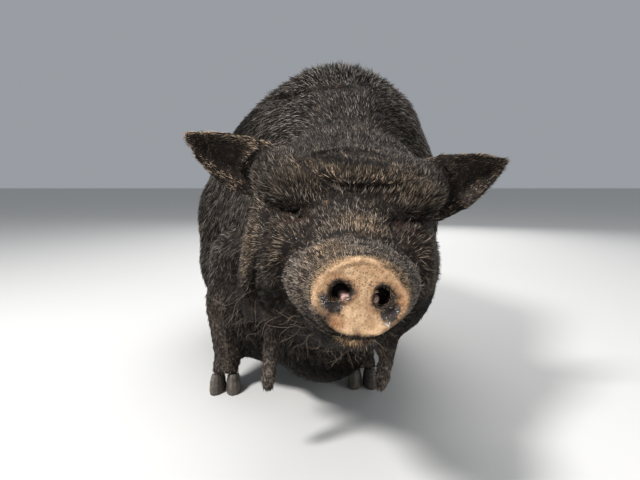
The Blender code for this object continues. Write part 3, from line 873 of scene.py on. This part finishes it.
# Bristle-tip lightness: its own patches of tone, with painted light mixed in. The pig's right cheek,
# jowl and muzzle side are made lighter than the left, and the right jowl browner, as if lit from that
# side.
pale_and_painted_light = 0.95 + 0.1 * ripple(points, 0.12, 4)
pale_and_painted_light += summed((-0.45, both, (0.075, -0.07, 0.012), (0.04, 0.04, 0.014)),  # brows
               (-0.4, both, (0.118, -0.04, 0.03), (0.014, 0.03, 0.026)),
               (-0.35, patch, (-0.085, -0.065, 0.018), (0.035, 0.035, 0.016)),
               (-1.05, beside, OVAL, 0.013),  # forehead
               (-0.3, patch, (0.0, 0.01, 0.072), (0.1, 0.035, 0.02)),
               (0.25, patch, (0.002, -0.08, 0.03), (0.06, 0.02, 0.01)),
               (1.1, patch, (0.0, -0.098, -0.006), (0.036, 0.02, 0.014)),  # bridge
               (1.05, patch, (0.005, -0.116, -0.014), (0.038, 0.042, 0.028)),
               (1.1, patch, (-0.106, -0.056, -0.026), (0.013, 0.02, 0.014)),  # cheeks
               (-0.2, both, (0.08, -0.105, -0.06), (0.03, 0.04, 0.03)),
               (-0.3, both, (0.09, -0.085, -0.07), (0.02, 0.04, 0.045)),
               (1.3, patch, (-0.124, -0.05, -0.08), (0.014, 0.03, 0.055)),  # jowl
               (1.3, patch, (-0.05, -0.18, -0.07), (0.022, 0.04, 0.035)),  # muzzle's sides
               (0.6, patch, (0.066, -0.165, -0.07), (0.018, 0.035, 0.03)),
               (2.8, patch, (0.005, -0.208, -0.13), (0.017, 0.02, 0.009)))  # lower lip
pale_and_painted_light += 1.75 * lit_ear_rim + 2.1 * ear_roll - 0.3 * ear
pale_and_painted_light += 1.25 * rise(-head_y, 0.112, 0.152) * on("head", "snout")
# Painted shade: tips on the lower jaw and chin are darkened, and those on the tassels most at their
# upper ends, under the head.
pale_and_painted_light -= 1.1 * rise(-head_z, 0.085, 0.125) * on_head
pale_and_painted_light -= wattle * (0.3 + 0.5 * rise(z, 0.105, 0.135))
# Painted light and shade on the bristle tips of neck and trunk, by which way the hide faces: some
# flanks of the neck and shoulders lighter, the steepest part of the upper right side darker, and the
# top of the back, the underside and the low chest darker.
body_painted_light = 0.35 * rise(-nx, 0.3, 0.55) * rise(-y, 0.0, 0.1)
body_painted_light -= 0.2 * rise(nz, 0.3, 0.8) + 0.35 * rise(z, 0.495, 0.535)
body_painted_light -= 0.85 * rise(-z, -0.21, -0.15) * rise(-y, 0.1, 0.18)
trunk_painted_light = 0.8 * rise(nx, 0.2, 0.6) * rise(z, 0.36, 0.42) * rise(-y, 0.0, 0.1)
trunk_painted_light -= 0.75 * rise(-nx, 0.6, 0.85) * rise(z, 0.34, 0.4) * rise(-y, -0.15, -0.05)
trunk_painted_light -= 0.7 * rise(-nz, 0.0, 0.45)
trunk_painted_light -= 0.45 * rise(-z, -0.26, -0.14) * rise(-y, 0.06, 0.16)
pale_and_painted_light += body_painted_light * (trunk | neck) + trunk_painted_light * trunk
pale_and_painted_light = pale_and_painted_light - 0.75 * rise(sunk, 0.0003, 0.0022) + 0.45 * rise(-sunk, 0.0004, 0.0025)
pale_and_painted_light = np.clip(pale_and_painted_light, 0.0, 3.4) * (1 - 0.97 * crease) * (1 - 0.98 * np.clip(1.6 * slit_shade, 0, 1))
pale_and_painted_light = evened(pale_and_painted_light, 1)
MARKINGS = {"mud": mud, "smear": smear, "froth_and_glints": froth_and_glints, "stain": stain, "nostril_shade": nostril_shade,
            "pink_and_highlight": pink_and_highlight, "rust": np.clip(rust, 0, 1), "pored": np.clip(pored, 0, 1),
            "raw": np.clip(raw, 0, 1), "painted_shade": np.clip(slit_shade + 0.9 * crease, 0, 1),
            "tassel": evened(wattle * fall(z, 0.115, 0.165) + 0.25 * on("leg"), 2)}


def keep(mesh, layer, values):
    """Keeps a value at each point of a mesh, for its material."""
    made = mesh.attributes.new(layer, "FLOAT", "POINT")
    made.data.foreach_set("value", values.astype(np.float32))


for marking, values in MARKINGS.items():
    keep(hide_mesh, marking, values)

# Black hide, raw or worn in places, under a cake of dried clay with pores, flecks and stains,
# and blackened with painted shade along the eye slits and in the creases.
skin = Finish("hide")
wrinkle = skin.noise(0.0035, detail=4.0)
blotch = skin.noise(0.05, detail=4.0)
cake = skin.noise(0.009, detail=5.0, rough=0.65)
speck = skin.noise(0.0016, detail=2.0)
nostril_shade_here = skin.attribute("nostril_shade")
pink_and_highlight_here = skin.attribute("pink_and_highlight")
mottle = wrinkle.between(0.38, 0.62) * cake.between(0.38, 0.56) * 0.95 + 0.04
leather = skin.blend(blotch.between(0.35, 0.7), (0.006, 0.005, 0.0045), (0.02, 0.016, 0.014))
# The last layer is painted shade, near black along the eye slits and the creases.
leather = skin.covered(
    leather,
    (skin.attribute("raw") * wrinkle.between(0.3, 0.65) * 0.6, (0.13, 0.05, 0.036)),
    (skin.attribute("tassel") * mottle, (0.23, 0.185, 0.155)),
    (skin.attribute("painted_shade") * 0.9, (0.004, 0.003, 0.003)))
pores = skin.value("ShaderNodeTexVoronoi", Vector=skin.here(), Scale=400.0)
pit = (1 - pores.between(0.18, 0.46)) * skin.attribute("pored") * cake.between(0.2, 0.5)
clay = skin.blend(cake.between(0.32, 0.66), (0.38, 0.225, 0.12), (0.69, 0.47, 0.285))
clay = skin.covered(
    clay,
    (blotch.between(0.52, 0.72) * 0.4, (0.42, 0.245, 0.125)),
    (skin.attribute("rust") * wrinkle.between(0.25, 0.6) * 0.85, (0.3, 0.125, 0.05)),
    (pit * 0.8, (0.085, 0.05, 0.028)),
    (speck.between(0.54, 0.68) * 0.55, (0.18, 0.11, 0.065)),
    (skin.attribute("stain") * cake.between(0.25, 0.65) * 0.9, (0.105, 0.055, 0.03)))
crust = skin.attribute("mud") + (speck - 0.5) * 0.9 + (cake - 0.5) * 0.6
caked = crust.between(0.05, 0.85)
wet = skin.attribute("smear") + (wrinkle - 0.5) * 1.1 + (speck - 0.5) * 0.9
wet = wet.between(0.12, 0.72)
slime = skin.blend(cake.between(0.35, 0.65), (0.01, 0.008, 0.007), (0.062, 0.048, 0.043))
# Painted glints: white flecks on the wet smears, with froth.
froth_glint = (skin.attribute("froth_and_glints") + (speck - 0.5) * 4.0).between(0.95, 1.35)
# Painted shade: near black inside the nostrils and their slits.
colour = skin.covered(leather, (caked, clay), (wet, slime), (froth_glint * 0.75, (0.72, 0.7, 0.68)),
                      (nostril_shade_here, (0.006, 0.004, 0.004)), (pink_and_highlight_here * 0.9, (0.78, 0.48, 0.43)))
roughness = 0.72 + caked * 0.2 - wet * 0.45 + nostril_shade_here * 0.25
gloss = ((wet * 0.35 + pink_and_highlight_here) * (1 - nostril_shade_here * 0.9)).clipped()
grain = skin.bump(wrinkle + cake * 1.5, 0.6, 0.0014)
grain = skin.bump(speck + pit * -0.8, 0.45, 0.0008, Normal=grain)
hide_mesh.materials.clear()
hide_mesh.materials.append(skin.surface(Base_Color=colour, Roughness=roughness, Normal=grain,
                                        Specular_IOR_Level=0.1, Coat_Weight=gloss,
                                        Coat_Roughness=0.1))
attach(hide, "root")
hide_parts(*FLESH)


# ---------------------------------------------------------------- how the coat lies and grows
# Bristles lean away from the snout, over the face and back along the body, down the legs
# and out along the ears. They are short on the muzzle and long under the jaw and on the crest.

DISC_MIDDLE = (0.0, -0.235, -0.085)
LIE_OF = {"leg": (0.0, 0.2, -1.0), "wattle": (0.0, -0.1, -1.0), "tail": (0.0, 0.1, -1.0)}


def unit(ways):
    """Directions brought to a length of one."""
    return ways / np.maximum(np.linalg.norm(ways, axis=1), 1e-9)[:, None]


def towards(value, goal, share):
    return value * (1 - share) + goal * share


lie = np.tile((-0.12, 1.0, 0.0), (len(points), 1))
lie[:, 2] -= (0.55 + 0.9 * rise(-y, -0.1, 0.04) * rise(z, 0.3, 0.36)) * np.abs(nx)
lie[:, 2] -= 1.6 * np.clip(-ny, 0, 1) * fall(z, 0.36, 0.44)
from_disc = unit(at - DISC_MIDDLE)
from_disc[:, 2] -= 0.45 * rise(np.abs(head_x), 0.055, 0.085) * rise(-head_z, 0.02, 0.06)
from_disc[:, 2] -= 0.6 * rise(-head_z, 0.115, 0.15)
lie[on_head] = (from_disc @ TO_HEAD.T)[on_head]
for name in ("ear_left", "ear_right"):
    mine = on(name)
    reach = np.abs(x - SKULL[0]) * mine
    tip = points[reach > np.quantile(reach[mine], 0.97)].mean(axis=0)
    root = points[mine & (reach < np.quantile(reach[mine], 0.12))].mean(axis=0)
    lie[mine] = (tip - points[mine]) * 0.5 + (tip - root)
for prefix, way in LIE_OF.items():
    lie[on(prefix)] = way
lie = evened(unit(lie), 10)

long, broad, many, steep = coat.T[1:].copy()
top_of_face = rise(head_z, -0.035, -0.01) * on_head
long += top_of_face * (0.008 + 0.0045 * rise(head_y, -0.15, -0.06) - long)
long += on_head * 0.0045 * np.clip(both((0.086, -0.08, 0.008), (0.03, 0.03, 0.014)), 0, 1)
cheek = rise(np.abs(head_x), 0.06, 0.085) * rise(-head_z, 0.015, 0.05) * on_head
long += cheek * 0.0012
long *= 1 - 0.45 * rise(-z, -0.3, -0.2) * rise(-y, 0.02, 0.1) * trunk
under_jaw = rise(-head_z, 0.118, 0.15) * rise(head_y, -0.215, -0.195) * on_head
long -= under_jaw * 0.003
many *= 1 - 0.45 * under_jaw
long = long * (1 - 0.45 * rise(sunk, 0.0004, 0.002)) * (1 - 0.45 * crease)
long *= 1 - 0.62 * near_crease
# Bristles stop short of the long thin creases, so that these stay open as dark lines.
for path, least in ((NECK_CREASE, 0.0026), (NAPE_FURROW, 0.0022)):
    from_crease, _ = away_from(points, along(path))
    long = np.minimum(long, least + 0.8 * from_crease)
many = many * (1 - 0.35 * crease) * (1 + 0.7 * ear_roll)
broad *= 1 - 0.25 * ear_roll
crest = rise(z, 0.475, 0.525) * fall(y, 0.0, 0.25)
long -= crest * 0.003
steep += crest * 24
many *= 1 - fall(rim, 0.96, 1.08) * rise(out, -0.022, -0.014)
many = many * (1 - 0.85 * np.clip(corner, 0, 1)) * (1 - 0.4 * np.clip(raw, 0, 1))
# Each bristle is tinted for the place that its tip reaches, since the tips are what shows.
hide_places = KDTree(len(points))
for i, point in enumerate(points):
    hide_places.insert(point, i)
hide_places.balance()
reached = [hide_places.find(tip)[1] for tip in points + lie * long[:, None] * 0.65]
pale_and_painted_light, brown = pale_and_painted_light[reached], brown[reached]
# Below, the disc is fringed with stiffer bristles whose tips are kept dark as painted shade under the
# snout. Its upper face has a thin, short stubble.
fringe = rise(rim, 0.9, 0.98) * rise(-up, 0.01, 0.022) * (out > -0.022)
stubble = fall(rim, 0.9, 1.03) * rise(out, -0.022, -0.014) * rise(up, -0.012, 0.01)
stubble *= 1 - np.clip(2 * smear + 2 * nostril_shade, 0, 1)
many = towards(many, 30.0, fringe) + 9.0 * stubble
long = towards(towards(long, 0.0065, fringe), 0.0024, stubble)
steep = towards(steep, 42.0, fringe)
pale_and_painted_light = towards(towards(pale_and_painted_light, 0.15, fringe), 0.35, stubble)
pale_and_painted_light += 1.3 * dust * (1 - fringe) * (1 - stubble)
mud = mud * (1 - fringe)
# No bristles grow on the eyelids' edges or the hooves, and few on the belly.
for middle in middles:
    ball = np.linalg.norm(points - np.array(middle), axis=1)
    many *= rise(ball, BALL + 0.0012, BALL + 0.005)
many = many * (1 - 0.6 * rise(-nz, 0.55, 0.9) * trunk) * (1 - 0.4 * on("leg_front"))
many *= rise(z, 0.024, 0.032)
front = rise(-y, 0.02, 0.1) * trunk
many *= 1 + front
broad *= 1 - 0.18 * front
long, broad, many, steep = (evened(field, 3) for field in (long, broad, many, steep))

# The hide's triangles, with each one's area in square centimetres and its middle.
hide_mesh.calc_loop_triangles()
flat = np.empty(3 * len(hide_mesh.loop_triangles), np.int32)
hide_mesh.loop_triangles.foreach_get("vertices", flat)
patches = flat.reshape(-1, 3)
edge_a = points[patches[:, 1]] - points[patches[:, 0]]
edge_b = points[patches[:, 2]] - points[patches[:, 0]]
patch_area = np.linalg.norm(np.cross(edge_a, edge_b), axis=1) / 2 * 1e4
patch_at = at[patches].mean(axis=1)
patch_x, patch_y, _ = points[patches].mean(axis=1).T


def unwrapped(mine):
    """Unwraps some of the hide by its own shape: the map places of its triangles' corners."""
    used, corners = np.unique(patches[mine], return_inverse=True)
    mesh = bpy.data.meshes.new("unwrap")
    mesh.from_pydata(points[used].tolist(), [], corners.reshape(-1, 3).tolist())
    sheet = set_down("unwrap", mesh)
    bpy.ops.object.select_all(action="DESELECT")
    sheet.select_set(True)
    bpy.context.view_layer.objects.active = sheet
    bpy.ops.object.mode_set(mode="EDIT")
    bpy.ops.mesh.select_all(action="SELECT")
    bpy.ops.uv.smart_project(angle_limit=math.radians(66), island_margin=0.004)
    bpy.ops.object.mode_set(mode="OBJECT")
    flat = np.empty(2 * len(mesh.loops), np.float32)
    mesh.uv_layers.active.data.foreach_get("uv", flat)
    bpy.data.objects.remove(sheet)
    bpy.data.meshes.remove(mesh)
    return flat.reshape(-1, 3, 2).astype(float)


ROOT_DEPTH = 0.001           # how deep a bristle is set in the hide
TUFT_HALF = 0.0015           # half the width of its patch on the map
FLATNESS = 0.7               # its thickness to its width
RING = ((0, 1), (1, 2), (2, 0))  # the sides of its cross-section


def spindles(name, roots, stand, over, length, width, lean, map_at, layers, sections=1, curl=0.0):
    """One mesh of many closed spindles, each bent over from the way it stands.

    Roots, stand and over are places and directions, one row for each bristle. Lean is the
    angle from the hide at the root. Layers are values kept for the material."""
    count = len(roots)
    draw = np.random.default_rng(len(name) + count)
    beside = unit(np.cross(stand, over))
    stops = np.linspace(0, 1, sections + 2)
    if sections == 1:
        stops[1] **= 1.45
    ahead = np.zeros(count)
    height = np.full(count, -ROOT_DEPTH)
    path = [roots + stand * height[:, None]]
    phase = draw.uniform(0, math.tau, count)
    turns = draw.uniform(0.5, 1.1, count)
    for a, b in zip(stops, stops[1:]):
        angle = lean * (1.45 - (a + b) / 2 * 1.1)
        ahead += length * (b - a) * np.cos(angle)
        height += length * (b - a) * np.sin(angle)
        sway = curl * length * (np.sin(phase + math.tau * turns * b) - np.sin(phase))
        path.append(roots + over * ahead[:, None] + stand * height[:, None] + beside * sway[:, None])
    each = 2 + 3 * sections
    verts = np.empty((count, each, 3))
    verts[:, 0] = path[0]
    verts[:, -1] = path[-1]
    for k in range(sections):
        raised = np.cross(unit(path[k + 2] - path[k]), beside)
        taper = 1.0 - 0.75 * k / sections
        for j, turn in enumerate((90, 210, 330)):
            c, s = math.cos(math.radians(turn)), math.sin(math.radians(turn))
            reach = (beside * c + raised * s * FLATNESS) * (width / 2 * taper)[:, None]
            verts[:, 1 + 3 * k + j] = path[k + 1] + reach
    last = each - 4
    triangles = [(1 + b, 1 + a, 0) for a, b in RING]
    for low in range(1, last, 3):
        for a, b in RING:
            triangles += [(low + b, low + a + 3, low + a), (low + b + 3, low + a + 3, low + b)]
    triangles += [(last + a, last + b, each - 1) for a, b in RING]
    corners = (np.array(triangles) + each * np.arange(count)[:, None, None]).ravel()
    mesh = bpy.data.meshes.new(name)
    mesh.vertices.add(count * each)
    mesh.vertices.foreach_set("co", verts.astype(np.float32).ravel())
    mesh.loops.add(len(corners))
    mesh.loops.foreach_set("vertex_index", corners.astype(np.int32))
    mesh.polygons.add(len(corners) // 3)
    mesh.polygons.foreach_set("loop_start", np.arange(0, len(corners), 3, dtype=np.int32))
    mesh.update(calc_edges=True)
    along_it = np.concatenate(([0.0], np.repeat(stops[1:-1], 3), [1.0]))
    tuft_map = np.zeros((each, 2))
    tuft_map[:, 1] = (along_it * 2 - 1) * TUFT_HALF
    tuft_map[1:-1, 0] = np.tile((-TUFT_HALF, 0.0, TUFT_HALF), sections)
    uv = (map_at[:, None] + tuft_map).reshape(-1, 2)[corners]
    mesh.uv_layers.new(name="OFBake").data.foreach_set("uv", uv.astype(np.float32).ravel())
    for layer, values in layers.items():
        keep(mesh, layer, np.repeat(values, each))
    keep(mesh, "along", np.tile(along_it, count))
    mesh.shade_smooth()
    return set_down(name, mesh)


GREY_TIP = (0.56, 0.485, 0.425)
BROWN_TIP = (0.78, 0.56, 0.37)
MUDDY_TIP = (0.62, 0.43, 0.26)
BLACK_ROOT = (0.004, 0.0035, 0.003)
bristle = Finish("bristles")
reach = bristle.attribute("along").between(0.08, 0.72)
shade = (reach * bristle.attribute("tone")).clipped()
tip_colour = bristle.blend(bristle.attribute("brown"), GREY_TIP, BROWN_TIP)
tip_colour = bristle.blend(bristle.attribute("mud"), tip_colour, MUDDY_TIP)
hair_colour = bristle.blend(shade, BLACK_ROOT, tip_colour)
bristles_finish = bristle.surface(Base_Color=hair_colour, Roughness=0.42,
                                  Specular_IOR_Level=0.05)


def coat_piece(name, mine, sections=1, curl=0.0, spread=0.13, contrast=4.0, lightest=0.0,
               grows=(long, broad, many, steep)):
    """Grows the bristles of one part of the coat as one mesh.

    Contrast sets how few of the bristles are light. Grows is the coat's own length, breadth,
    number on a square centimetre and steepness, or others for a piece that is unlike it."""
    draw = np.random.default_rng(sum(map(ord, name)))
    mine = np.flatnonzero(mine)
    fields = [np.full(len(points), value) if np.isscalar(value) else value for value in grows]
    expected = patch_area[mine] * fields[2][patches[mine]].mean(axis=1)
    count = int(expected.sum())
    reached = np.cumsum(expected)
    pick = (np.arange(count) + draw.random(count)) / count * reached[-1]
    chosen = np.minimum(np.searchsorted(reached, pick), len(mine) - 1)
    r = np.sqrt(draw.random(count))
    s = draw.random(count)
    weights = np.stack((1 - r, r * (1 - s), r * s), axis=1)

    def here(field):
        """A field's value where each bristle is rooted."""
        share = weights if field.ndim == 1 else weights[:, :, None]
        return (field[patches[mine[chosen]]] * share).sum(axis=1)

    map_at = (unwrapped(mine)[chosen] * weights[:, :, None]).sum(axis=1)
    roots = here(points)
    stand = unit(here(normals))
    over = here(lie)
    over = unit(over - stand * (over * stand).sum(axis=1)[:, None])
    turn = 0.16 * ripple(roots, 0.03, 11) + 0.13 * ripple(roots, 0.009, 12)
    turn += draw.normal(0, spread, count)
    over = over * np.cos(turn)[:, None] + np.cross(stand, over) * np.sin(turn)[:, None]
    length = here(fields[0]) * draw.uniform(0.65, 1.25, count) * (1 + 0.15 * ripple(roots, 0.02, 5))
    width = here(fields[1]) * draw.uniform(0.75, 1.25, count)
    lean = np.radians(here(fields[3]) * draw.uniform(0.65, 1.4, count))
    lean *= 1 + 0.3 * ripple(roots, 0.008, 8)
    tone = draw.random(count) ** contrast * (contrast + 1) / 5
    tone = tone * (0.95 + 0.4 * ripple(roots, 0.009, 6)) + 0.015
    # The tips' tone takes in the painted light and shade laid into the markings.
    tone = np.clip(tone * here(pale_and_painted_light), 0, 1) + lightest * draw.uniform(0.3, 1.0, count)
    layers = {"tone": tone, "brown": here(brown), "mud": np.clip(here(mud) + here(dust) * 0.95, 0, 1)}
    piece = spindles(name, roots, stand, over, length, width, lean, map_at, layers, sections, curl)
    piece.data.materials.append(bristles_finish)
    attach(piece, "root")


def grown_on(*prefixes):
    """True for the hide's triangles on a part whose name starts with one of these."""
    return on(*prefixes)[patches[:, 0]]


is_head = grown_on("head", "snout", "lower_jaw")
is_muzzle = grown_on("snout") | grown_on("head") & (patch_at[:, 1] < -0.14)
is_face = grown_on("head") & ~is_muzzle & (patch_at[:, 2] > -0.035)
to_left = patch_x > 0.005 - 0.12 * (patch_y + 0.1)
coat_piece("coat_muzzle", is_muzzle, contrast=2.4)
coat_piece("coat_face", is_face)
coat_piece("coat_cheeks", is_head & ~is_muzzle & ~is_face)
coat_piece("coat_ears", grown_on("ear"))
coat_piece("coat_neck", grown_on("neck"))
for name, start, end in (("shoulder", -math.inf, -0.02), ("side", -0.02, 0.26)):
    stretch = grown_on("trunk") & (patch_y >= start) & (patch_y < end)
    coat_piece("coat_left_" + name, stretch & to_left)
    coat_piece("coat_right_" + name, stretch & ~to_left)
coat_piece("coat_rump", grown_on("trunk") & (patch_y >= 0.26))
coat_piece("coat_legs", grown_on("leg"))
coat_piece("coat_tail_and_tassels", grown_on("wattle", "tail"), sections=2)

# The beard: long thin curling hairs, few and far apart, on the jowls and under the chin.
beard_many = 0.34 * rise(-head_z, 0.108, 0.128) * on_head
beard_many *= 1 - fall(rim, 1.0, 1.3) * near_disc
beard_many *= fall(head_x, 0.01, 0.05)
beard_many += 0.35 * patch((-0.02, -0.175, -0.155), (0.035, 0.045, 0.025))
beard_long = 0.03 + 0.016 * rise(np.abs(head_x), 0.03, 0.06)
is_jowl = is_head & ~grown_on("snout") & (patch_at[:, 2] < -0.095)
coat_piece("beard", is_jowl, sections=6, curl=0.09, spread=0.5, lightest=0.45,
           grows=(beard_long, 0.0008, beard_many, 34.0))
# Guard hairs: single longer bristles that stand clear of the rest on brows, bridge and lips.
guard_many = 1.1 * rise(head_z, -0.12, -0.095) * on_head * (rim > 1.05)
coat_piece("guard_hairs", is_head, sections=3, curl=0.03, spread=0.35, lightest=0.3,
           grows=(0.012, 0.0006, guard_many, 24.0))
# Nostril hairs: short and dark, growing from the inner edge of each nostril across its opening.
opening = np.minimum(nostril_places(points, -1)[0], nostril_places(points, 1)[0])
nostril_many = 90.0 * bell(opening, 1.08, 0.16) * near_disc
coat_piece("nostril_hairs", is_muzzle, sections=2, curl=0.05, spread=0.45, lightest=0.01,
           grows=(0.0048, 0.00042, nostril_many, 34.0))
# The disc's edge: very short dusty hairs that soften it above and at its sides.
edge_many = 85.0 * bell(rim, 1.03, 0.075)
edge_many = edge_many * rise(out, -0.03, -0.012) * rise(up, -0.024, -0.004)
coat_piece("disc_edge", is_muzzle, spread=0.3, lightest=0.55,
           grows=(0.0042, 0.0006, edge_many, 26.0))


# ---------------------------------------------------------------- eyes and claws
# The eyeballs are dark brown and wet. The claws and dewclaws are dull grey-brown horn with
# fine upright streaks, fainter rings across them and patches of grime.

wet_eye = Finish("eyeball")
iris = wet_eye.noise(0.004, detail=3.0)
eye_colour = wet_eye.blend(iris, (0.012, 0.006, 0.004), (0.04, 0.02, 0.011))
eye_finish = wet_eye.surface(Base_Color=eye_colour, Roughness=0.06)
horn = Finish("horn")
streak = horn.noise(1.0, detail=4.0, at=horn.stretched((420.0, 420.0, 45.0)))
ring = horn.noise(1.0, detail=2.0, at=horn.stretched((25.0, 25.0, 380.0)))
grime = horn.noise(0.01, detail=5.0)
horn_colour = horn.blend(streak.between(0.3, 0.7), (0.028, 0.024, 0.021), (0.105, 0.088, 0.073))
horn_colour = horn.covered(horn_colour, (ring.between(0.45, 0.75) * 0.5, (0.15, 0.125, 0.1)),
                           (grime.between(0.5, 0.7) * 0.6, (0.2, 0.15, 0.105)))
horn_grain = horn.bump(streak + ring * 0.6, 0.5, 0.0006)
horn_finish = horn.surface(Base_Color=horn_colour, Roughness=0.52 + grime * 0.25, Normal=horn_grain)
for name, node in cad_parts.items():
    if name in EYES:
        node.material_slots[0].material = eye_finish
    elif "claw" in name:
        node.material_slots[0].material = horn_finish
